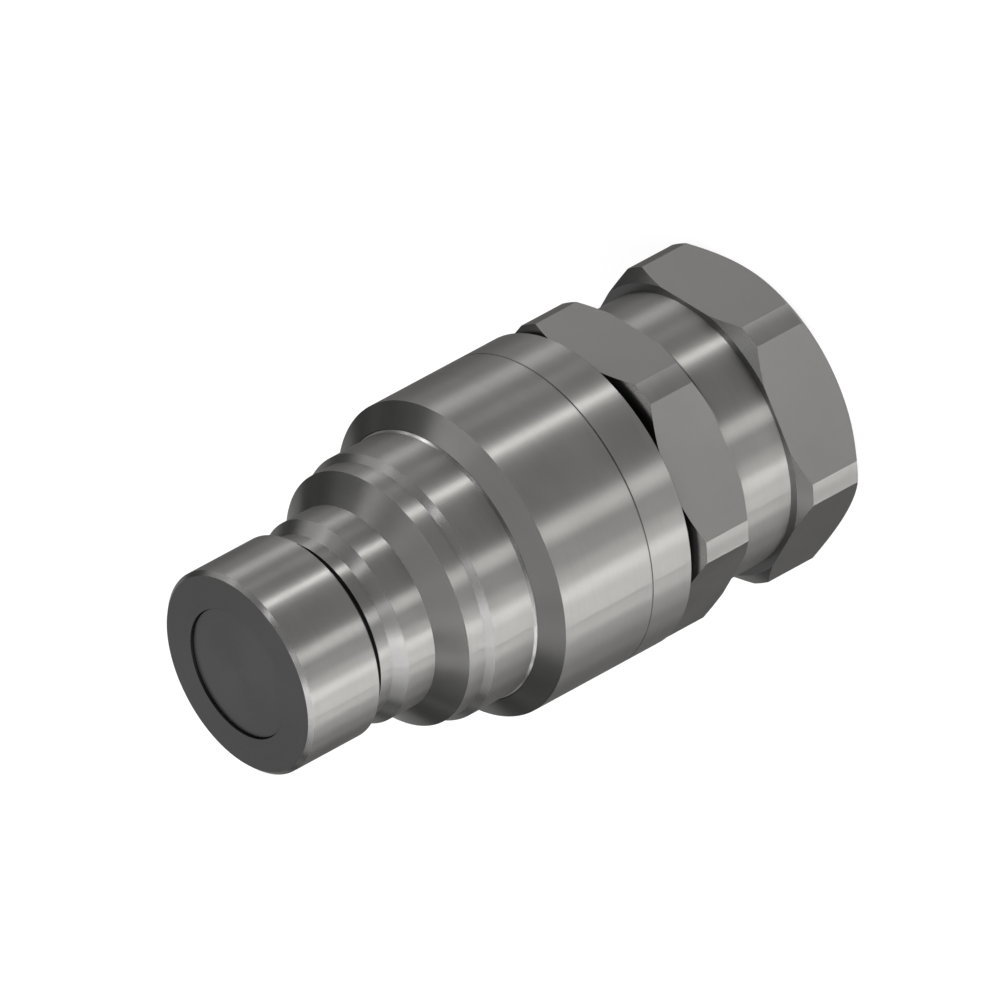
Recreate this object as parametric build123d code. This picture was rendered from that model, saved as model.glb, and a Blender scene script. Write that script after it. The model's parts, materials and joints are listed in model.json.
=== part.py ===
from build123d import *
from math import cos, floor, radians, sin, tan
import os

# Flat face hydraulic coupling, male half, size 12.5, in millimetres.
# It stands on its rear face: the origin is that face's centre, and +Z runs along the axis out of the nose.

# Clearances and small edges
slide_clearance = 0.06
thread_clearance = 0.03
spigot_clearance = 0.05
flange_clearance = 0.15
mouth_clearance = 0.04
seat_gap = 0.08
seal_gap = 0.02
end_gap = 0.3
edge_break = 0.1
fine_edge = 0.03
lead_in = 0.5

# Nose, outside
nose_dia = 24.5
nose_length = 10.0
nose_edge = 0.47
ball_groove_depth = 1.27
ball_groove_length = 2.9
nose_undercut_length = 1.27
nose_undercut_depth = 0.75
latch_land_length = 3.85
collar_height = 3.05
collar_ramp = 2.33
collar_length = 2.36
neck_rise = 0.75
neck_length = 5.94
neck_flare = 0.2
neck_flare_length = 0.29
flange_rise = 0.85
flange_thickness = 4.0
nose_tail_length = 5.0

# Nose, inside
nose_wall = 1.68
nose_seat_width = 1.5
nose_seat_angle = 45.0
nose_bore_length = 4.5
spring_chamber_length = 15.5
guide_step = 1.6

# Barrel sleeve
sleeve_length = 14.5
sleeve_wall = 1.95
sleeve_lip = 2.2
mouth_chamfer_length = 1.75

# Main body
body_ring_length = 5.7
body_ring_edge = 0.1
undercut_width = 0.7
undercut_depth = 1.2
front_hex_length = 8.65
front_hex_face_inset = 1.86
hex_corner_rise = 0.1
hex_flat_depth = 1.9
hex_chamfer_angle = 38.0
neck_chamfer_inset = 1.45
body_spigot_wall = 2.97
body_shelf_width = 2.55
body_hex_wall = 2.7

# Rear adaptor
rear_hex_length = 9.2
rear_face_inset = 1.92
adaptor_neck_length = 7.35
adaptor_neck_step = 0.6
adaptor_spigot_land = 2.4
adaptor_wall = 3.45
guide_shelf_width = 2.0
port_thread_dia = 20.9
port_thread_depth = 14.0
port_countersink = 0.75
port_passage_length = 5.5

# Seals of the two spigots and of the relief housing
seal_groove_depth = 1.4
seal_groove_play = 0.4
seal_groove_end = 0.7
backup_thickness = 1.3
housing_seal_width = 1.5
housing_seal_depth = 1.2

# Poppet
poppet_stroke = 7.0
poppet_recess = 0.35
poppet_face_thickness = 1.95
poppet_seal_thickness = 1.8
poppet_seal_width = 1.78
poppet_flange_clearance = 0.6
poppet_flange_edge = 1.2
poppet_screw_dia = 6.0
poppet_screw_length = 5.0
stem_boss_dia = 9.0
stem_boss_length = 5.0
stem_dia = 5.6
stem_reach = 1.0

# Relief valve and its housing
relief_tube_clearance = 0.9
relief_tube_wall = 2.0
relief_flange_thickness = 3.0
relief_seat_lip = 3.0
relief_seat_overlap = 1.4
relief_flow_gap = 1.6
relief_tip_flow_gap = 2.2
relief_tip_gap = 0.4
relief_tip_reach = 1.6
relief_head_length = 4.42
relief_seal_margin = 0.2
relief_seal_depth = 1.2
relief_boss_dia = 6.8
relief_boss_length = 2.5
relief_stem_dia = 4.4
relief_stem_reach = 0.7

# Springs
main_wire_dia = 1.5
relief_wire_dia = 1.1
spring_fit = 0.45
spring_reserve = 0.1

# Guides and their retaining rings
guide_rim_thickness = 4.0
guide_hub_length = 5.0
guide_hub_margin = 0.25
relief_guide_rim_thickness = 3.0
relief_hub_length = 4.5
guide_port_count = 4
guide_web_width = 2.2
ring_thickness = 1.1
ring_groove_depth = 0.7
ring_width = 1.7
ring_fit = 0.05
ring_lug_dia = 3.0
ring_lug_inset = 0.45
ring_hole_dia = 1.4
ring_gap_angle = 40.0

# Radii that follow from the sizes above
nose_r = nose_dia / 2
groove_r = nose_r - ball_groove_depth
nose_undercut_r = groove_r - nose_undercut_depth
chamber_r = groove_r - nose_wall
nose_bore_r = chamber_r - nose_seat_width
guide_bore_r = chamber_r + guide_step
collar_r = nose_r + collar_height
neck_r = collar_r + neck_rise
neck_root_r = neck_r + neck_flare
mouth_r = neck_root_r + mouth_clearance
flange_r = neck_r + flange_rise
sleeve_bore_r = flange_r + flange_clearance
barrel_r = sleeve_bore_r + sleeve_wall
hex_corner_r = barrel_r + hex_corner_rise
half_flats = hex_corner_r - hex_flat_depth
body_spigot_r = sleeve_bore_r - thread_clearance
tail_bore_r = body_spigot_r - body_spigot_wall
tail_r = tail_bore_r - spigot_clearance
body_chamber_r = tail_bore_r - body_shelf_width
undercut_r = half_flats - undercut_depth
body_rear_bore_r = half_flats - body_hex_wall
adaptor_neck_r = half_flats - adaptor_neck_step
adaptor_spigot_r = body_rear_bore_r - thread_clearance
adaptor_bore_r = adaptor_spigot_r - adaptor_wall
passage_r = adaptor_bore_r - guide_shelf_width
port_r = port_thread_dia / 2
poppet_r = nose_bore_r - slide_clearance
poppet_neck_r = poppet_r - poppet_seal_width
poppet_screw_r = poppet_screw_dia / 2
poppet_flange_r = chamber_r - poppet_flange_clearance
stem_boss_r = stem_boss_dia / 2
stem_r = stem_dia / 2
relief_flange_r = tail_bore_r - flange_clearance
relief_tube_r = guide_bore_r - relief_tube_clearance
relief_tube_bore_r = relief_tube_r - relief_tube_wall
relief_head_r = relief_tube_bore_r - relief_flow_gap
relief_seat_r = relief_head_r - relief_seat_overlap
relief_tip_r = relief_seat_r - relief_tip_flow_gap
relief_boss_r = relief_boss_dia / 2
relief_stem_r = relief_stem_dia / 2
hex_slope = tan(radians(hex_chamfer_angle))
seat_slope = tan(radians(nose_seat_angle))

# Heights up the outside, from the rear face
neck_z = rear_hex_length
shoulder_z = neck_z + adaptor_neck_length
hex_face_z = shoulder_z + front_hex_length
ring_z = hex_face_z + undercut_width
seam_z = ring_z + body_ring_length
mouth_z = seam_z + sleeve_length
neck_top_z = mouth_z + neck_length
collar_low_z = neck_top_z + neck_rise
collar_top_z = collar_low_z + collar_length
latch_low_z = collar_top_z + collar_ramp
latch_top_z = latch_low_z + latch_land_length
groove_low_z = latch_top_z + ball_groove_depth
groove_top_z = groove_low_z + ball_groove_length
nose_undercut_z = groove_top_z - nose_undercut_length
face_z = groove_top_z + nose_length

# Heights inside the nose, from its face down
seat_top_z = face_z - nose_bore_length
chamber_top_z = seat_top_z - nose_seat_width / seat_slope
guide_top_z = chamber_top_z - spring_chamber_length
guide_rim_z = guide_top_z - guide_rim_thickness
guide_hub_z = guide_top_z - guide_hub_length
poppet_face_z = face_z - poppet_recess
seal_top_z = poppet_face_z - poppet_face_thickness
seal_low_z = seal_top_z - poppet_seal_thickness
stem_end_z = guide_hub_z - stem_reach

# Heights inside the barrel
flange_top_z = mouth_z - sleeve_lip
flange_low_z = flange_top_z - flange_thickness
tail_end_z = flange_low_z - nose_tail_length
body_shelf_z = tail_end_z - relief_flange_thickness

# Heights inside the adaptor, from the rear face up
shelf_z = port_thread_depth + port_passage_length
relief_rim_z = shelf_z + relief_guide_rim_thickness
relief_hub_z = shelf_z + relief_hub_length
adaptor_top_z = relief_rim_z + ring_thickness + adaptor_spigot_land

# Heights of the relief valve, from the poppet's stem down
tip_top_z = stem_end_z - relief_tip_gap
housing_top_z = tip_top_z - relief_tip_reach
relief_seat_z = housing_top_z - relief_seat_lip
relief_head_top_z = relief_seat_z - seat_gap
relief_head_low_z = relief_head_top_z - relief_head_length

# Seal grooves of the two spigots
nose_seal_dia = seal_groove_depth + spigot_clearance - 2 * seal_gap
nose_groove_low_z = tail_end_z + seal_groove_end
nose_groove_top_z = nose_groove_low_z + nose_seal_dia + backup_thickness + seal_groove_play
nose_groove_r = tail_r - seal_groove_depth
adaptor_seal_dia = seal_groove_depth + thread_clearance - 2 * seal_gap
adaptor_groove_top_z = adaptor_top_z - seal_groove_end
adaptor_groove_low_z = adaptor_groove_top_z - adaptor_seal_dia - backup_thickness - seal_groove_play
adaptor_groove_r = adaptor_spigot_r - seal_groove_depth


def turned(*corners):
    """Solid turned about Z from its section's (radius, height) corners."""
    outline = Polyline(*[(r, 0, z) for r, z in corners], close=True)
    return revolve(make_face(outline), Axis.Z)


def ring(inner, outer, low, high):
    return turned((inner, low), (outer, low), (outer, high), (inner, high))


def disc(radius, low, high):
    return ring(0, radius, low, high)


def outside_flats(low, high):
    """What the six flats take off a round bar between two heights."""
    flats = RegularPolygon(radius=half_flats, side_count=6, major_radius=False)
    prism = Pos(0, 0, low) * extrude(flats, high - low)
    return disc(2 * hex_corner_r, low, high) - prism


def coil(low, high, boss_r, wire_dia):
    """Compression spring between two faces, round a boss, with as many turns as its closed length allows."""
    turns = floor((high - low - poppet_stroke - spring_reserve) / wire_dia)
    height = high - low - wire_dia
    path = Helix(pitch=height / turns, height=height, radius=coil_r(boss_r, wire_dia))
    wire = Plane(origin=path @ 0, z_dir=path % 0) * Circle(wire_dia / 2)
    return Pos(0, 0, low + wire_dia / 2) * sweep(wire, path=path, is_frenet=True)


def coil_r(boss_r, wire_dia):
    return boss_r + spring_fit + wire_dia / 2


def hub_r(boss_r, wire_dia):
    """Hub that carries the whole end of the coil."""
    return coil_r(boss_r, wire_dia) + wire_dia / 2 + guide_hub_margin


def curved_ports(inner, outer, low, high):
    """Kidney ports between a hub and a rim, parted by webs."""
    middle = (inner + outer) / 2
    width = outer - inner
    pitch = 360 / guide_port_count
    blind_angle = (guide_web_width + width) / radians(middle)
    arc = CenterArc((0, 0), middle, blind_angle / 2, pitch - blind_angle)
    port = Pos(0, 0, low) * extrude(SlotArc(arc, width), high - low)
    return [Rot(0, 0, k * pitch) * port for k in range(guide_port_count)]


def retaining_ring(groove_r, low):
    """Internal spring ring with a gap and two plier lugs."""
    high = low + ring_thickness
    outer = groove_r - ring_fit
    inner = outer - ring_width
    half_gap = radians(ring_gap_angle / 2)
    reach = 2 * outer
    far = (reach * cos(half_gap), reach * sin(half_gap))
    wedge = make_face(Polyline((0, 0), far, (far[0], -far[1]), close=True))
    band = ring(inner, outer, low, high) - Pos(0, 0, low) * extrude(wedge, ring_thickness)
    lug_r = inner - ring_lug_inset
    for side in (-1, 1):
        turn = Rot(0, 0, side * (ring_gap_angle / 2 + ring_lug_dia / 2 / radians(lug_r)))
        place = turn * Pos(lug_r, 0, 0)
        band += place * disc(ring_lug_dia / 2, low, high)
        band -= place * disc(ring_hole_dia / 2, low, high)
    return band


def nose_body():
    outside = [
        (nose_bore_r + fine_edge, face_z),
        (nose_r - nose_edge, face_z),
        (nose_r, face_z - nose_edge),
        (nose_r, groove_top_z + edge_break),
        (nose_r - edge_break, groove_top_z),
        (nose_undercut_r, groove_top_z),
        (nose_undercut_r, nose_undercut_z),
        (groove_r, nose_undercut_z),
        (groove_r, groove_low_z),
        (nose_r, latch_top_z),
        (nose_r, latch_low_z),
        (collar_r, collar_top_z),
        (collar_r, collar_low_z),
        (neck_r, neck_top_z),
        (neck_r, mouth_z + neck_flare_length),
        (neck_root_r, mouth_z),
        (neck_root_r, flange_top_z),
        (flange_r, flange_top_z),
        (flange_r, flange_low_z),
        (tail_r, flange_low_z),
        (tail_r, nose_groove_top_z),
        (nose_groove_r, nose_groove_top_z),
        (nose_groove_r, nose_groove_low_z),
        (tail_r, nose_groove_low_z),
        (tail_r, tail_end_z),
    ]
    ring_groove_r = guide_bore_r + ring_groove_depth
    ring_groove_z = guide_rim_z - ring_thickness - edge_break
    inside = [
        (guide_bore_r, tail_end_z),
        (guide_bore_r, ring_groove_z),
        (ring_groove_r, ring_groove_z),
        (ring_groove_r, guide_rim_z),
        (guide_bore_r, guide_rim_z),
        (guide_bore_r, guide_top_z),
        (chamber_r, guide_top_z),
        (chamber_r, chamber_top_z),
        (nose_bore_r, seat_top_z),
        (nose_bore_r, face_z - fine_edge),
    ]
    return turned(*outside, *inside)


def barrel_sleeve():
    return turned(
        (sleeve_bore_r, seam_z),
        (barrel_r - edge_break, seam_z),
        (barrel_r, seam_z + edge_break),
        (barrel_r, mouth_z - mouth_chamfer_length),
        (mouth_r + fine_edge, mouth_z),
        (mouth_r, mouth_z - fine_edge),
        (mouth_r, flange_top_z),
        (sleeve_bore_r, flange_top_z),
    )


def main_body():
    bore_top_z = adaptor_top_z + end_gap
    outside = [
        (hex_corner_r - neck_chamfer_inset, shoulder_z),
        (hex_corner_r, shoulder_z + neck_chamfer_inset * hex_slope),
        (hex_corner_r, hex_face_z - front_hex_face_inset * hex_slope),
        (hex_corner_r - front_hex_face_inset, hex_face_z),
        (undercut_r, hex_face_z),
        (undercut_r, ring_z),
        (barrel_r - body_ring_edge, ring_z),
        (barrel_r, ring_z + body_ring_edge),
        (barrel_r, seam_z - edge_break),
        (barrel_r - edge_break, seam_z),
        (body_spigot_r, seam_z),
        (body_spigot_r, flange_low_z - lead_in),
        (body_spigot_r - lead_in, flange_low_z),
    ]
    inside = [
        (tail_bore_r, flange_low_z),
        (tail_bore_r, body_shelf_z),
        (body_chamber_r, body_shelf_z),
        (body_chamber_r, bore_top_z),
        (body_rear_bore_r, bore_top_z),
        (body_rear_bore_r, shoulder_z),
    ]
    return turned(*outside, *inside) - outside_flats(shoulder_z, hex_face_z)


def rear_adaptor():
    outside = [
        (port_r + port_countersink, 0),
        (hex_corner_r - rear_face_inset, 0),
        (hex_corner_r, rear_face_inset * hex_slope),
        (hex_corner_r, neck_z - neck_chamfer_inset * hex_slope),
        (hex_corner_r - neck_chamfer_inset, neck_z),
        (adaptor_neck_r, neck_z),
        (adaptor_neck_r, shoulder_z),
        (adaptor_spigot_r, shoulder_z),
        (adaptor_spigot_r, adaptor_groove_low_z),
        (adaptor_groove_r, adaptor_groove_low_z),
        (adaptor_groove_r, adaptor_groove_top_z),
        (adaptor_spigot_r, adaptor_groove_top_z),
        (adaptor_spigot_r, adaptor_top_z),
    ]
    ring_groove_r = adaptor_bore_r + ring_groove_depth
    ring_groove_z = relief_rim_z + ring_thickness + edge_break
    inside = [
        (adaptor_bore_r, adaptor_top_z),
        (adaptor_bore_r, ring_groove_z),
        (ring_groove_r, ring_groove_z),
        (ring_groove_r, relief_rim_z),
        (adaptor_bore_r, relief_rim_z),
        (adaptor_bore_r, shelf_z),
        (passage_r, shelf_z),
        (passage_r, port_thread_depth),
        (port_r, port_thread_depth),
        (port_r, port_countersink),
    ]
    return turned(*outside, *inside) - outside_flats(0, neck_z)


def poppet_head():
    """Round face, the land that the seal sits on, and the screw behind it."""
    screw_end_z = seal_low_z - poppet_screw_length
    return turned(
        (0, poppet_face_z),
        (poppet_r - fine_edge, poppet_face_z),
        (poppet_r, poppet_face_z - fine_edge),
        (poppet_r, seal_top_z),
        (poppet_neck_r, seal_top_z),
        (poppet_neck_r, seal_low_z),
        (poppet_screw_r, seal_low_z),
        (poppet_screw_r, screw_end_z),
        (0, screw_end_z),
    )


def poppet_cone_z(radius):
    """Height of the stem flange's cone at a radius, seat_gap off the nose's own cone."""
    return seat_top_z + (nose_bore_r - radius) / seat_slope - seat_gap / sin(radians(nose_seat_angle))


poppet_flange_low_z = poppet_cone_z(poppet_flange_r) - poppet_flange_edge


def poppet_stem():
    boss_low_z = poppet_flange_low_z - stem_boss_length
    screw_end_z = seal_low_z - poppet_screw_length - end_gap
    return turned(
        (poppet_screw_r, seal_low_z),
        (poppet_r, seal_low_z),
        (poppet_r, poppet_cone_z(poppet_r)),
        (poppet_flange_r, poppet_cone_z(poppet_flange_r)),
        (poppet_flange_r, poppet_flange_low_z),
        (stem_boss_r, poppet_flange_low_z),
        (stem_boss_r, boss_low_z),
        (stem_r, boss_low_z),
        (stem_r, stem_end_z + lead_in),
        (stem_r - lead_in, stem_end_z),
        (0, stem_end_z),
        (0, screw_end_z),
        (poppet_screw_r, screw_end_z),
    )


def poppet_seal():
    return ring(poppet_neck_r + seal_gap, nose_bore_r - seal_gap, seal_low_z, seal_top_z)


def main_spring():
    return coil(guide_top_z, poppet_flange_low_z, stem_boss_r, main_wire_dia)


def valve_guide():
    hub = hub_r(stem_boss_r, main_wire_dia)
    guide = disc(guide_bore_r - spigot_clearance, guide_rim_z, guide_top_z)
    guide += disc(hub, guide_hub_z, guide_top_z)
    guide -= curved_ports(hub, chamber_r, guide_rim_z, guide_top_z)
    return guide - disc(stem_r + slide_clearance, guide_hub_z, guide_top_z)


def guide_retaining_ring():
    return retaining_ring(guide_bore_r + ring_groove_depth, guide_rim_z - ring_thickness)


def spigot_o_ring(groove_r, section_dia, low):
    return Pos(0, 0, low + section_dia / 2) * Torus(groove_r + seal_gap + section_dia / 2, section_dia / 2)


def nose_o_ring():
    return spigot_o_ring(nose_groove_r, nose_seal_dia, nose_groove_low_z)


def nose_backup_ring():
    low = nose_groove_top_z - backup_thickness
    return ring(nose_groove_r + seal_gap, tail_bore_r - seal_gap, low, nose_groove_top_z)


def adaptor_o_ring():
    return spigot_o_ring(adaptor_groove_r, adaptor_seal_dia, adaptor_groove_top_z - adaptor_seal_dia)


def adaptor_backup_ring():
    high = adaptor_groove_low_z + backup_thickness
    return ring(adaptor_groove_r + seal_gap, body_rear_bore_r - seal_gap, adaptor_groove_low_z, high)


housing_seal_r = (body_chamber_r + relief_flange_r) / 2


def relief_housing():
    """Seat tube on a flange that is clamped between the nose's tail and the main body's shelf."""
    tube = turned(
        (relief_tube_bore_r, body_shelf_z),
        (relief_flange_r, body_shelf_z),
        (relief_flange_r, tail_end_z),
        (relief_tube_r, tail_end_z),
        (relief_tube_r, housing_top_z),
        (relief_seat_r, housing_top_z),
        (relief_seat_r, relief_seat_z),
        (relief_tube_bore_r, relief_seat_z),
    )
    half_width = housing_seal_width / 2
    groove_top_z = body_shelf_z + housing_seal_depth
    return tube - ring(housing_seal_r - half_width, housing_seal_r + half_width, body_shelf_z, groove_top_z)


def housing_o_ring():
    section_r = housing_seal_depth / 2 - seal_gap
    return Pos(0, 0, body_shelf_z + housing_seal_depth / 2) * Torus(housing_seal_r, section_r)


relief_seal_inner_r = relief_seat_r + relief_seal_margin
relief_seal_outer_r = relief_head_r - relief_seal_margin
relief_seal_floor_z = relief_head_top_z - relief_seal_depth


def relief_valve():
    boss_low_z = relief_head_low_z - relief_boss_length
    stem_low_z = shelf_z - relief_stem_reach
    valve = turned(
        (0, tip_top_z),
        (relief_tip_r, tip_top_z),
        (relief_tip_r, relief_head_top_z),
        (relief_head_r, relief_head_top_z),
        (relief_head_r, relief_head_low_z),
        (relief_boss_r, relief_head_low_z),
        (relief_boss_r, boss_low_z),
        (relief_stem_r, boss_low_z),
        (relief_stem_r, stem_low_z + lead_in),
        (relief_stem_r - lead_in, stem_low_z),
        (0, stem_low_z),
    )
    return valve - ring(relief_seal_inner_r, relief_seal_outer_r, relief_seal_floor_z, relief_head_top_z)


def relief_seal():
    inner = relief_seal_inner_r + seal_gap
    outer = relief_seal_outer_r - seal_gap
    return ring(inner, outer, relief_seal_floor_z, relief_seat_z - seal_gap)


def relief_spring():
    return coil(relief_hub_z, relief_head_low_z, relief_boss_r, relief_wire_dia)


def relief_guide():
    hub = hub_r(relief_boss_r, relief_wire_dia)
    guide = disc(adaptor_bore_r - spigot_clearance, shelf_z, relief_rim_z)
    guide += disc(hub, shelf_z, relief_hub_z)
    guide -= curved_ports(hub, passage_r, shelf_z, relief_rim_z)
    return guide - disc(relief_stem_r + slide_clearance, shelf_z, relief_hub_z)


def relief_retaining_ring():
    return retaining_ring(adaptor_bore_r + ring_groove_depth, relief_rim_z)


pieces = [
    nose_body,
    barrel_sleeve,
    main_body,
    rear_adaptor,
    poppet_head,
    poppet_stem,
    poppet_seal,
    main_spring,
    valve_guide,
    guide_retaining_ring,
    nose_o_ring,
    nose_backup_ring,
    adaptor_o_ring,
    adaptor_backup_ring,
    relief_housing,
    housing_o_ring,
    relief_valve,
    relief_seal,
    relief_spring,
    relief_guide,
    relief_retaining_ring,
]

os.makedirs("parts", exist_ok=True)
for piece in pieces:
    export_step(piece(), f"parts/{piece.__name__}.step")
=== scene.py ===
import json
from math import atan2, cos, hypot, pi, radians, sin, tan

import bpy
from mathutils import Matrix, Vector

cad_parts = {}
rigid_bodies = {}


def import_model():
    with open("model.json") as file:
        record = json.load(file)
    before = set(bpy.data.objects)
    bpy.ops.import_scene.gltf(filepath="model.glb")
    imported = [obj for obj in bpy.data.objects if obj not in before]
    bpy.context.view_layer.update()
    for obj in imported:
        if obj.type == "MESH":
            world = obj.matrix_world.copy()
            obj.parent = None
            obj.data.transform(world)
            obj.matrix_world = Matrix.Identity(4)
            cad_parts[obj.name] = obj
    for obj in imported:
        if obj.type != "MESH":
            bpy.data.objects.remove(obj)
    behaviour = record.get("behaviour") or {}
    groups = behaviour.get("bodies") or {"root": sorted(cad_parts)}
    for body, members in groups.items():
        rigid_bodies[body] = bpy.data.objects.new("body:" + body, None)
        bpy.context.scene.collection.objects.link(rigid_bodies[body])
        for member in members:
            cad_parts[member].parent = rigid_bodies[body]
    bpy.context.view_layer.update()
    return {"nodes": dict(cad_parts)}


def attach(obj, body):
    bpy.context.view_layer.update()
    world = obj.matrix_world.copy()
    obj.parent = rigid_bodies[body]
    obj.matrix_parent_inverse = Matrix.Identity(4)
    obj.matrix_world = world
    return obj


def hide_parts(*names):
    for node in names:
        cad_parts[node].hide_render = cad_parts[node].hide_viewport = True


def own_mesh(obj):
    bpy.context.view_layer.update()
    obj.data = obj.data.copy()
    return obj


# Flat face hydraulic coupling, male half, standing on its rear face. Metres, +Z out of the nose.

for leftover in list(bpy.data.objects):
    bpy.data.objects.remove(leftover, do_unlink=True)

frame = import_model()
nodes = frame["nodes"]

MM = 0.001

# Sizes that follow the solids
FACE_Z = 75.5 * MM
HALF_FLATS = 17.2 * MM

# Length of the nose's bore, whose wall is painted near black as shade round the poppet
NOSE_BORE_LENGTH = 4.5 * MM

# Recesses painted dark as shade, each a low and a high end and the radius that they lie within
RECESSES = (
    (25.15 * MM, 25.95 * MM, 18.4 * MM),
    (31.45 * MM, 31.75 * MM, 18.98 * MM),
    (64.2 * MM, 65.45 * MM, 11.1 * MM),
)

# Heights between which the front hexagon's chamfer runs into the groove behind the barrel,
# the height from which painted shade under the barrel ring darkens it, how fast, and the share of its tone
# that is left
GROOVE_CONE = (23.7 * MM, 25.25 * MM)
GROOVE_SHADE_FROM = 24.1 * MM
GROOVE_SHADE_FADE = 0.3 * MM
GROOVE_SHADE_SHARE = 0.12

# Limits by which faces are told apart: facing inwards, upright, on a flat, square to the axis, on a cone
INWARD = -0.2 * MM
UPRIGHT = 0.001
ON_FLAT = 0.01 * MM
FLAT_TURN = 0.002
SQUARE = 0.999
SLOPING = 0.2

# Springs as they stand at rest: ends, mean radius, wire, turns, and length when pushed in
MAIN_COIL = {
    "low": 54.0 * MM, "high": 68.787 * MM, "radius": 5.7 * MM, "wire": 1.5 * MM, "turns": 5,
    "closed_height": 7.787 * MM,
}
RELIEF_COIL = {
    "low": 24.0 * MM, "high": 38.5 * MM, "radius": 4.4 * MM, "wire": 1.1 * MM, "turns": 6,
    "closed_height": 7.5 * MM,
}

# Camera: direction from the object, image right and image up, and the face's place in the image
TO_CAMERA = Vector((0.63253, 0.57088, 0.52345))
IMAGE_RIGHT = Vector((0.65995, -0.04349, -0.75005))
IMAGE_UP = Vector((-0.40542, 0.81988, -0.40426))
PIXEL = 0.10925 * MM
FOCAL_PIXELS = 30272.0
FACE_LEFT_OF_CENTRE = 262.771
FACE_BELOW_CENTRE = 174.135
SENSOR = 36.0
IMAGE_PIXELS = 1000.0

# How far off the lamps stand, the height they stand round, and the watts for radiance 1 on a square metre
LAMP_DISTANCE = 1.3
LAMP_MIDDLE = 0.04
LAMP_POWER = 4

# Low upright lamps round the object: half width and elevations in degrees, then azimuth and brightness
LOW_HALF_WIDTH = 3
LOW_FROM = 1
LOW_TO = 18
STRIPS = (
    (-72, 2.0), (-60, 2.4), (-54, 3.8), (-48, 2.0), (-42, 14.0), (-36, 1.1), (-30, 15.8),
    (-24, 7.5), (-18, 13.6), (-12, 20.9), (-6, 4.3), (0, 8.2), (6, 1.3), (12, 4.7), (24, 11.1),
    (30, 14.0), (114, 3.0), (132, 4.6), (138, 8.4), (144, 2.0), (156, 1.5),
)

# The narrow low lamp: azimuth, half width and brightness
NARROW_STRIP = (88, 1.0, 88.0)

# High upright lamps: how far they reach below and above their elevation,
# then azimuth, half width, elevation and brightness
HIGH_BELOW = 16
HIGH_ABOVE = 6
HIGH_STRIPS = (
    (-94, 4.0, 12, 0.35), (-79.8, 3.2, 20, 0.5), (-73.6, 3.2, 24, 0.65), (-67, 3.2, 28, 0.9),
    (-60.4, 3.4, 32, 1.45), (-53, 3.7, 36, 1.75), (-45.6, 3.9, 40, 2.4), (-37.4, 4.2, 43, 2.4),
    (-28.6, 4.6, 47, 2.4), (-19.1, 4.8, 50, 3.4), (-8.9, 5.3, 52, 1.75), (2.2, 5.7, 55, 0.75),
    (14.1, 6.1, 57, 0.75), (26.7, 5.0, 58, 2.2), (39.8, 6.4, 58, 0.1), (52.9, 6.4, 58, 0.15),
    (65.6, 6.2, 57, 0.2), (77.8, 5.9, 55, 0.2), (89.2, 2.6, 53, 5.4), (99.8, 4.9, 51, 0.4),
    (109.6, 4.7, 48, 0.3), (118.6, 4.3, 45, 0.45), (126.9, 4.0, 41, 0.75), (134.8, 3.8, 38, 0.5),
    (142.1, 3.6, 34, 1.75), (149, 3.4, 30, 0.85), (155.6, 3.2, 26, 0.85), (162, 3.0, 22, 0.7),
    (168, 3.0, 18, 0.35),
)

# Broad upright lamps: name, azimuth, half width, lowest and highest elevation, brightness
BROAD_STRIPS = (
    ("back", 222, 35, 15, 55, 0.1),
    ("side_right", -75, 18, 42, 60, 0.45),
    ("side_left", 155, 18, 44, 64, 0.75),
)

# Round lamps overhead: name, half angle, brightness, and how far and which way they lean off the axis
TOP_LAMPS = (
    ("softbox", 30, 0.45, 0, 0),
    ("softbox_near", 12, 1.7, 12, 100),
)

WORLD_TONE = 0.16
FLOOR_TONE = 0.85
FLOOR_GLOW = 1.15
FLOOR_GLOW_SHARE = 0.75
FLOOR_HALF = 6.0

# Middle part of a noise's range, where most of its values lie
NOISE_LOW = 0.3
NOISE_HIGH = 0.7

RING_DETAIL = 2.0
LINE_DETAIL = 3.0
WEAR_DETAIL = 4.0

# Turned metal: width of its fine and broad marks, how often each changes in a radian, and their relief
FINE_MARK = 0.07 * MM
FINE_TURN_RATE = 3.0
FINE_RELIEF = 0.0005 * MM
BROAD_MARK = 0.6 * MM
BROAD_TURN_RATE = 1.2
BROAD_RELIEF = 0.0006 * MM

# How far its tone and gloss vary, and the scale, tone, share and haze of its worn patches
TURNED_TONE_SPREAD = 0.02
TURNED_GLOSS_SPREAD = 0.03
TURNED_WEAR = 160.0
TURNED_WORN_TONE = 0.88
TURNED_WORN_SHARE = 0.2
TURNED_HAZE = (-0.02, 0.03)

# The same for milled metal, whose lines are given as a scale across and along the axis
MILLED_LINES = (2200.0, 2200.0, 250.0)
MILLED_RELIEF = 0.0004 * MM
MILLED_TONE_SPREAD = 0.015
MILLED_GLOSS_SPREAD = 0.015
MILLED_WEAR = 130.0
MILLED_WORN_TONE = 0.9
MILLED_WORN_SHARE = 0.3
MILLED_HAZE = (-0.03, 0.03)

# Rubber, plastic and wire: scale of the clouds against the skin's, their tones, and the gloss's spread
CLOUD_SCALE = 0.12
CLOUD_DARK = 0.8
CLOUD_LIGHT = 1.15
PLAIN_GLOSS_SPREAD = 0.06

# A quarter turn lays the stretched gloss along the axis
GLOSS_TURN = 0.25

# Green loses this share of what blue loses in a warm grey
GREEN_WARMTH = 0.3

BODY_TONE = 0.21
FLAT_TONE = 0.182
# Painted shade: tone of recesses and inward-facing faces, darker than the body
RECESS_SHADE_TONE = 0.08
# Painted shade: near black tone of the nose's bore wall round the poppet
GAP_SHADE_TONE = 0.015
POPPET_TONE = 0.225
GUIDE_TONE = 0.23


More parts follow.
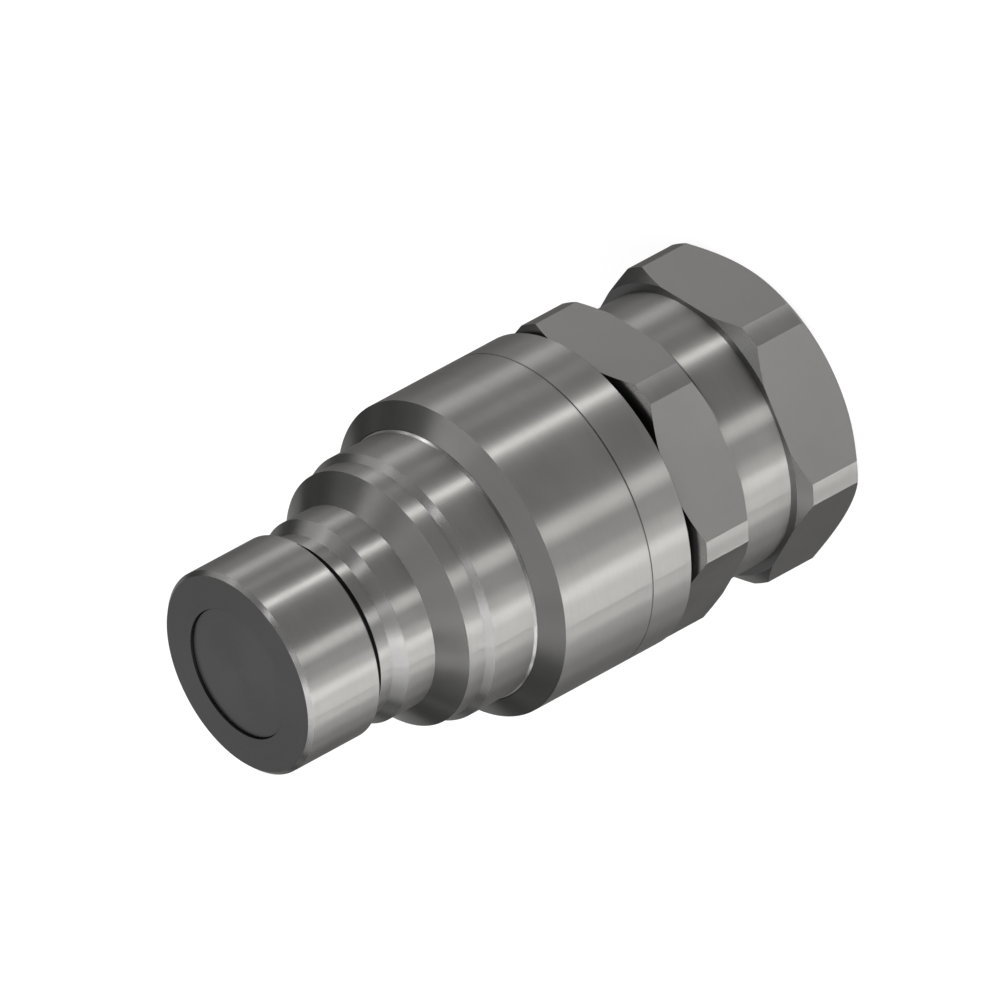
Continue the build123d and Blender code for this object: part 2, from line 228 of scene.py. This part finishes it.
def make_camera():
    data = bpy.data.cameras.new("camera")
    data.sensor_width = SENSOR
    data.lens = SENSOR * FOCAL_PIXELS / IMAGE_PIXELS
    camera = bpy.data.objects.new("camera", data)
    bpy.context.scene.collection.objects.link(camera)
    to_face = FACE_LEFT_OF_CENTRE * IMAGE_RIGHT + FACE_BELOW_CENTRE * IMAGE_UP
    place = Vector((0, 0, FACE_Z)) + PIXEL * (FOCAL_PIXELS * TO_CAMERA + to_face)
    turn = Matrix((IMAGE_RIGHT, IMAGE_UP, TO_CAMERA)).transposed().to_4x4()
    camera.matrix_world = Matrix.Translation(place) @ turn
    bpy.context.scene.camera = camera


class Graph:
    """A material's node tree, with short calls for its nodes."""

    def __init__(self, name):
        self.material = bpy.data.materials.new(name)
        self.material.use_nodes = True
        self.tree = self.material.node_tree
        self.shader = self.tree.nodes["Principled BSDF"]
        self.output = self.tree.nodes["Material Output"]

    def add(self, kind, *values, **settings):
        node = self.tree.nodes.new(kind)
        for key, value in settings.items():
            setattr(node, key, value)
        for socket, value in zip(node.inputs, values):
            self.feed(socket, value)
        return node

    def feed(self, socket, value):
        if isinstance(value, bpy.types.NodeSocket):
            self.tree.links.new(value, socket)
        else:
            socket.default_value = value

    def set(self, node, **values):
        """Values by the sockets' names, with _ for a space."""
        for name, value in values.items():
            self.feed(node.inputs[name.replace("_", " ")], value)

    def math(self, operation, *values):
        return self.add("ShaderNodeMath", *values, operation=operation).outputs[0]

    def vector(self, operation, *values):
        return self.add("ShaderNodeVectorMath", *values, operation=operation)

    def place(self):
        return self.add("ShaderNodeTexCoord").outputs["Object"]

    def remap(self, value, low, high):
        """A noise's middle part spread over low to high."""
        node = self.add("ShaderNodeMapRange", value)
        self.set(node, From_Min=NOISE_LOW, From_Max=NOISE_HIGH, To_Min=low, To_Max=high)
        return node.outputs[0]

    def ramp(self, value, low, high):
        node = self.add("ShaderNodeMapRange", value, interpolation_type="SMOOTHSTEP")
        self.set(node, From_Min=low, From_Max=high)
        return node.outputs[0]

    def mix(self, share, first, second):
        node = self.add("ShaderNodeMix", data_type="RGBA")
        self.feed(node.inputs[0], share)
        self.feed(node.inputs[6], first)
        self.feed(node.inputs[7], second)
        return node.outputs[2]

    def noise(self, vector, scale, detail, w=None):
        node = self.add("ShaderNodeTexNoise", noise_dimensions="3D" if w is None else "4D")
        self.set(node, Vector=vector, Scale=scale, Detail=detail)
        if w is not None:
            self.set(node, W=w)
        return node.outputs["Fac"]

    def bump(self, height, distance, under=None):
        node = self.add("ShaderNodeBump")
        self.set(node, Distance=distance, Height=height)
        if under is not None:
            self.set(node, Normal=under)
        return node.outputs["Normal"]


def grey(value, warmth=0.0):
    return (value, value * (1 - GREEN_WARMTH * warmth), value * (1 - warmth), 1.0)


def rings(graph, around, height, radius, step, turn_rate):
    """Noise in rings round the axis: step is a mark's width, turn_rate how often it changes in a radian."""
    scaled = graph.vector("SCALE", around)
    graph.set(scaled, Scale=turn_rate)
    lift = graph.add("ShaderNodeCombineXYZ", 0.0, 0.0, graph.math("DIVIDE", height, step)).outputs[0]
    vector = graph.vector("ADD", scaled.outputs[0], lift).outputs[0]
    return graph.noise(vector, 1.0, RING_DETAIL, graph.math("DIVIDE", radius, step))


def stretch_gloss(graph, anisotropy):
    """Gloss drawn out along the axis, across the marks."""
    tangent = graph.add("ShaderNodeTangent", direction_type="RADIAL", axis="Z")
    graph.set(graph.shader, Anisotropic=anisotropy, Anisotropic_Rotation=GLOSS_TURN)
    graph.set(graph.shader, Tangent=tangent.outputs[0])


def turned_metal(name, tone, warmth=0.05, roughness=0.4, anisotropy=1.0, grain=1.0, edge=0.4, shade_from=None):
    """Lathe-turned metal: ring marks in colour, gloss and relief over faint handling wear; when shade_from is
    given, painted shade darkens it from that height upwards.
    """
    graph = Graph(name)
    place = graph.place()
    x, y, height = graph.add("ShaderNodeSeparateXYZ", place).outputs
    flat = graph.add("ShaderNodeCombineXYZ", x, y).outputs[0]
    radius = graph.vector("LENGTH", flat).outputs["Value"]
    around = graph.vector("NORMALIZE", flat).outputs[0]
    fine = rings(graph, around, height, radius, FINE_MARK, FINE_TURN_RATE)
    broad = rings(graph, around, height, radius, BROAD_MARK, BROAD_TURN_RATE)
    wear = graph.noise(place, TURNED_WEAR, WEAR_DETAIL)
    dull = grey(tone * (1 - TURNED_TONE_SPREAD), warmth)
    bright = grey(tone * (1 + TURNED_TONE_SPREAD), warmth)
    colour = graph.mix(graph.remap(broad, 0.0, 1.0), dull, bright)
    worn = graph.remap(wear, 0.0, TURNED_WORN_SHARE)
    colour = graph.mix(worn, colour, grey(tone * TURNED_WORN_TONE, warmth))
    # Painted shade: the tone darkens from shade_from upwards, where the barrel ring shades the groove
    if shade_from is not None:
        painted_shade = graph.ramp(height, shade_from, shade_from + GROOVE_SHADE_FADE)
        colour = graph.mix(painted_shade, colour, grey(tone * GROOVE_SHADE_SHARE, warmth))
    spread = TURNED_GLOSS_SPREAD * grain
    gloss = graph.remap(fine, roughness - spread, roughness + spread)
    gloss = graph.math("ADD", gloss, graph.remap(wear, *TURNED_HAZE))
    graph.set(graph.shader, Base_Color=colour, Roughness=gloss)
    graph.set(graph.shader, Metallic=1.0, Specular_Tint=grey(edge))
    stretch_gloss(graph, anisotropy)
    relief = graph.bump(fine, FINE_RELIEF * grain)
    graph.set(graph.shader, Normal=graph.bump(broad, BROAD_RELIEF * grain, under=relief))
    return graph.material


def milled_metal(name, tone, warmth=0.05, roughness=0.4, anisotropy=1.0, edge=0.4):
    """Milled flats: fine lines along the axis under a soft haze."""
    graph = Graph(name)
    place = graph.place()
    stretched = graph.add("ShaderNodeMapping", place)
    graph.set(stretched, Scale=MILLED_LINES)
    lines = graph.noise(stretched.outputs[0], 1.0, LINE_DETAIL)
    wear = graph.noise(place, MILLED_WEAR, WEAR_DETAIL)
    dull = grey(tone * (1 - MILLED_TONE_SPREAD), warmth)
    bright = grey(tone * (1 + MILLED_TONE_SPREAD), warmth)
    colour = graph.mix(graph.remap(lines, 0.0, 1.0), dull, bright)
    worn = graph.remap(wear, 0.0, MILLED_WORN_SHARE)
    colour = graph.mix(worn, colour, grey(tone * MILLED_WORN_TONE, warmth))
    gloss = graph.remap(lines, roughness - MILLED_GLOSS_SPREAD, roughness + MILLED_GLOSS_SPREAD)
    gloss = graph.math("ADD", gloss, graph.remap(wear, *MILLED_HAZE))
    graph.set(graph.shader, Base_Color=colour, Roughness=gloss)
    graph.set(graph.shader, Metallic=1.0, Specular_Tint=grey(edge))
    stretch_gloss(graph, anisotropy)
    graph.set(graph.shader, Normal=graph.bump(lines, MILLED_RELIEF))
    return graph.material


def plain_material(name, colour, roughness, metallic, step, relief):
    """Rubber, plastic or wire: mottled colour and gloss over a fine skin."""
    graph = Graph(name)
    place = graph.place()
    skin = graph.noise(place, 1 / step, LINE_DETAIL)
    cloud = graph.noise(place, CLOUD_SCALE / step, LINE_DETAIL)
    dark = tuple(CLOUD_DARK * c for c in colour) + (1.0,)
    light = tuple(CLOUD_LIGHT * c for c in colour) + (1.0,)
    mottled = graph.mix(graph.remap(cloud, 0.0, 1.0), dark, light)
    gloss = graph.remap(skin, roughness - PLAIN_GLOSS_SPREAD, roughness + PLAIN_GLOSS_SPREAD)
    graph.set(graph.shader, Base_Color=mottled, Metallic=metallic, Roughness=gloss)
    graph.set(graph.shader, Normal=graph.bump(skin, relief))
    return graph.material


# Looks of the slots
body_steel = turned_metal("body_steel", BODY_TONE)
poppet_steel = turned_metal(
    "poppet_steel", POPPET_TONE, warmth=0.0, roughness=0.34, anisotropy=0.3, grain=0.5, edge=1.0
)
guide_steel = turned_metal("guide_steel", GUIDE_TONE)
spring_steel = plain_material("spring_steel", (0.26, 0.26, 0.26), 0.35, 1.0, 0.15 * MM, 0.003 * MM)
seal_rubber = plain_material("seal_rubber", (0.03, 0.03, 0.03), 0.55, 0.0, 0.12 * MM, 0.01 * MM)
backup_plastic = plain_material("backup_plastic", (0.72, 0.71, 0.66), 0.4, 0.0, 0.3 * MM, 0.003 * MM)
LOOKS = {
    "body_steel": body_steel,
    "poppet_steel": poppet_steel,
    "guide_steel": guide_steel,
    "spring_steel": spring_steel,
    "seal_rubber": seal_rubber,
    "backup_plastic": backup_plastic,
}

# Looks of the parts of a body, behind the slot's own look at index 0
FLAT, FACE, CONE, SHADED, SHADED_GROOVE, SHADED_GAP = range(1, 7)
BODY_LOOKS = (
    milled_metal("body_flats", FLAT_TONE),
    turned_metal("body_faces", BODY_TONE, warmth=0.0, roughness=0.33, anisotropy=0.3, grain=0.5, edge=1.0),
    turned_metal("body_cones", BODY_TONE, warmth=0.03, roughness=0.24, anisotropy=0.4, grain=0.2),
    # Painted shade in recesses and on inward-facing faces
    turned_metal("body_recesses_shaded", RECESS_SHADE_TONE, warmth=0.0, roughness=0.35, anisotropy=0.0),
    # Painted shade under the barrel ring on the front hexagon's chamfer cone
    turned_metal(
        "body_groove_cone_shaded", BODY_TONE, roughness=0.24, anisotropy=0.4, grain=0.2, shade_from=GROOVE_SHADE_FROM
    ),
    # Painted shade, near black, on the nose's bore wall round the poppet
    turned_metal("body_gaps_shaded", GAP_SHADE_TONE, warmth=0.0, roughness=0.5, anisotropy=0.0, grain=0.2),
)


def dress(node):
    """The look of the node's slot, and on the bodies the looks of their flats, faces and cones, and painted
    shade on their recesses, inward faces and groove cone.
    """
    slot_name = node.material_slots[0].name
    node.material_slots[0].material = LOOKS[slot_name]
    if slot_name != "body_steel":
        return
    for look in BODY_LOOKS:
        node.data.materials.append(look)
    for polygon in node.data.polygons:
        polygon.material_index = body_look(polygon.center, polygon.normal)


def body_look(centre, normal):
    outward = normal.x * centre.x + normal.y * centre.y
    # The nose's bore wall gets near black painted shade
    if outward < INWARD and centre.z > FACE_Z - NOSE_BORE_LENGTH:
        return SHADED_GAP
    # Inward-facing faces and recesses get painted shade
    if outward < INWARD or in_recess(centre):
        return SHADED
    if abs(normal.z) < UPRIGHT and abs(outward - HALF_FLATS) < ON_FLAT and on_flat(normal):
        return FLAT
    if abs(normal.z) > SQUARE:
        return FACE
    if abs(normal.z) > SLOPING:
        return SHADED_GROOVE if GROOVE_CONE[0] < centre.z < GROOVE_CONE[1] else CONE
    return 0


def in_recess(centre):
    radius = hypot(centre.x, centre.y)
    return any(low < centre.z < high and radius < reach for low, high, reach in RECESSES)


def on_flat(normal):
    """The six flats face 30, 90, 150 degrees and so on."""
    turn = (atan2(normal.y, normal.x) - pi / 6) / (pi / 3)
    return abs(turn - round(turn)) < FLAT_TURN


def mesh_piece(name, vertices, faces, material):
    mesh = bpy.data.meshes.new(name)
    mesh.from_pydata(vertices, [], faces)
    mesh.polygons.foreach_set("use_smooth", [True] * len(mesh.polygons))
    mesh.materials.append(material)
    piece = bpy.data.objects.new(name, mesh)
    bpy.context.scene.collection.objects.link(piece)
    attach(piece, "housing")
    return piece


def swept(rows, count):
    """Faces of a rod with flat ends, from rows of vertices, count in a row."""
    faces = []
    for k in range(rows - 1):
        for i in range(count):
            j = (i + 1) % count
            faces.append((k * count + i, k * count + j, (k + 1) * count + j, (k + 1) * count + i))
    faces.append(tuple(reversed(range(count))))
    faces.append(tuple(range((rows - 1) * count, rows * count)))
    return faces


def spring_piece(name, node, joint, low, high, radius, wire, turns, closed_height):
    """Compression spring whose end turns are closed and ground, with a tip of some thickness left."""
    steps = 64
    around = 20
    tip = 0.15 * wire
    ends = [0.0, 1.0, turns - 1.0, float(turns)]
    heights = [low + tip, low + tip + wire, high - tip - wire, high - tip]
    rows = turns * steps + 1
    vertices = []
    for k in range(rows):
        turn = k / steps
        part = 0 if turn < ends[1] else 1 if turn < ends[2] else 2
        share = (turn - ends[part]) / (ends[part + 1] - ends[part])
        middle = heights[part] + share * (heights[part + 1] - heights[part])
        angle = 2 * pi * turn
        for i in range(around):
            a = 2 * pi * i / around
            r = radius + wire / 2 * cos(a)
            z = min(max(middle + wire / 2 * sin(a), low), high)
            vertices.append((r * cos(angle), r * sin(angle), z))
    piece = mesh_piece(name, vertices, swept(rows, around), spring_steel)
    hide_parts(node)
    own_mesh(piece)


def port_thread():
    """Ridges of the rear port's parallel pipe thread, sunk a little into the bore, fading at both ends."""
    pitch = 1.814 * MM
    root = 10.45 * MM
    crest = 9.32 * MM
    sunk = 0.05 * MM
    low = 1.0 * MM
    high = 13.2 * MM
    fade_turns = 0.5
    least = 0.02
    steps = 96
    half_profile = [(0.48, 0.0), (0.36, 0.16), (0.12, 0.9), (0.05, 1.0)]
    profile = half_profile + [(-along, up) for along, up in reversed(half_profile)]
    turns = (high - low - pitch) / pitch
    rows = int(turns * steps) + 1
    vertices = []
    for k in range(rows):
        turn = k / steps
        fade = max(min(1.0, turn / fade_turns, (turns - turn) / fade_turns), least)
        angle = 2 * pi * turn
        middle = low + pitch / 2 + turn * pitch
        for along, up in profile:
            r = root + sunk - (root + sunk - crest) * up * fade
            z = middle + along * pitch
            vertices.append((r * cos(angle), r * sin(angle), z))
    mesh_piece("port_thread", vertices, swept(rows, len(profile)), guide_steel)


def add_lamp(name, data, location):
    lamp = bpy.data.objects.new(name, data)
    lamp.location = location
    lamp.visible_camera = False
    bpy.context.scene.collection.objects.link(lamp)
    return lamp


def strip_light(name, azimuth, half_width, low, high, radiance):
    """Upright soft lamp: its azimuth, half width and elevations are in degrees, seen from the object."""
    bottom = LAMP_DISTANCE * tan(radians(low))
    top = LAMP_DISTANCE * tan(radians(high))
    data = bpy.data.lights.new(name, "AREA")
    data.shape = "RECTANGLE"
    data.size = 2 * LAMP_DISTANCE * tan(radians(half_width))
    data.size_y = top - bottom
    data.energy = LAMP_POWER * radiance * data.size * data.size_y
    turn = radians(azimuth)
    height = LAMP_MIDDLE + (top + bottom) / 2
    lamp = add_lamp(name, data, (LAMP_DISTANCE * cos(turn), LAMP_DISTANCE * sin(turn), height))
    lamp.rotation_euler = (pi / 2, 0, turn + pi / 2)


def top_light(name, half_angle, radiance, lean, azimuth):
    """Round soft lamp overhead, facing down."""
    data = bpy.data.lights.new(name, "AREA")
    data.shape = "DISK"
    data.size = 2 * LAMP_DISTANCE * tan(radians(half_angle))
    data.energy = LAMP_POWER * radiance * pi * (data.size / 2) ** 2
    offset = LAMP_DISTANCE * tan(radians(lean))
    turn = radians(azimuth)
    add_lamp(name, data, (offset * cos(turn), offset * sin(turn), LAMP_DISTANCE))


def make_lamps():
    for azimuth, radiance in STRIPS:
        strip_light(f"strip_{azimuth + 360:03d}", azimuth, LOW_HALF_WIDTH, LOW_FROM, LOW_TO, radiance)
    azimuth, half_width, radiance = NARROW_STRIP
    strip_light(f"narrow_{azimuth + 360:03d}", azimuth, half_width, LOW_FROM, LOW_TO, radiance)
    for index, (azimuth, half_width, elevation, radiance) in enumerate(HIGH_STRIPS):
        low = elevation - HIGH_BELOW
        high = elevation + HIGH_ABOVE
        strip_light(f"high_{index:02d}", azimuth, half_width, low, high, radiance)
    for strip in BROAD_STRIPS:
        strip_light(*strip)
    for lamp in TOP_LAMPS:
        top_light(*lamp)


def make_floor():
    """Pale floor that shows white, and keeps part of the object's shadow."""
    graph = Graph("floor")
    graph.tree.nodes.remove(graph.shader)
    diffuse = graph.add("ShaderNodeBsdfDiffuse", grey(FLOOR_TONE))
    white = graph.add("ShaderNodeEmission", grey(1.0), FLOOR_GLOW)
    rays = graph.add("ShaderNodeLightPath").outputs
    seen = graph.math("MAXIMUM", rays["Is Camera Ray"], rays["Is Glossy Ray"])
    seen = graph.math("MAXIMUM", seen, rays["Is Transmission Ray"])
    share = graph.math("MULTIPLY", seen, FLOOR_GLOW_SHARE)
    mixed = graph.add("ShaderNodeMixShader", share, diffuse.outputs[0], white.outputs[0])
    graph.feed(graph.output.inputs["Surface"], mixed.outputs[0])
    half = FLOOR_HALF
    corners = [(-half, -half, 0), (half, -half, 0), (half, half, 0), (-half, half, 0)]
    mesh = bpy.data.meshes.new("floor")
    mesh.from_pydata(corners, [], [(0, 1, 2, 3)])
    mesh.materials.append(graph.material)
    floor_piece = bpy.data.objects.new("floor", mesh)
    bpy.context.scene.collection.objects.link(floor_piece)


def make_world():
    world = bpy.data.worlds.new("studio")
    world.use_nodes = True
    background = world.node_tree.nodes["Background"]
    background.inputs["Color"].default_value = grey(WORLD_TONE)
    background.inputs["Strength"].default_value = 1.0
    bpy.context.scene.world = world


for node in nodes.values():
    dress(node)
spring_piece("main_coil", "main_spring", "poppet_slide", **MAIN_COIL)
spring_piece("relief_coil", "relief_spring", "relief_slide", **RELIEF_COIL)
port_thread()
make_camera()
make_floor()
make_world()
make_lamps()

scene = bpy.context.scene
scene.view_settings.view_transform = "Standard"
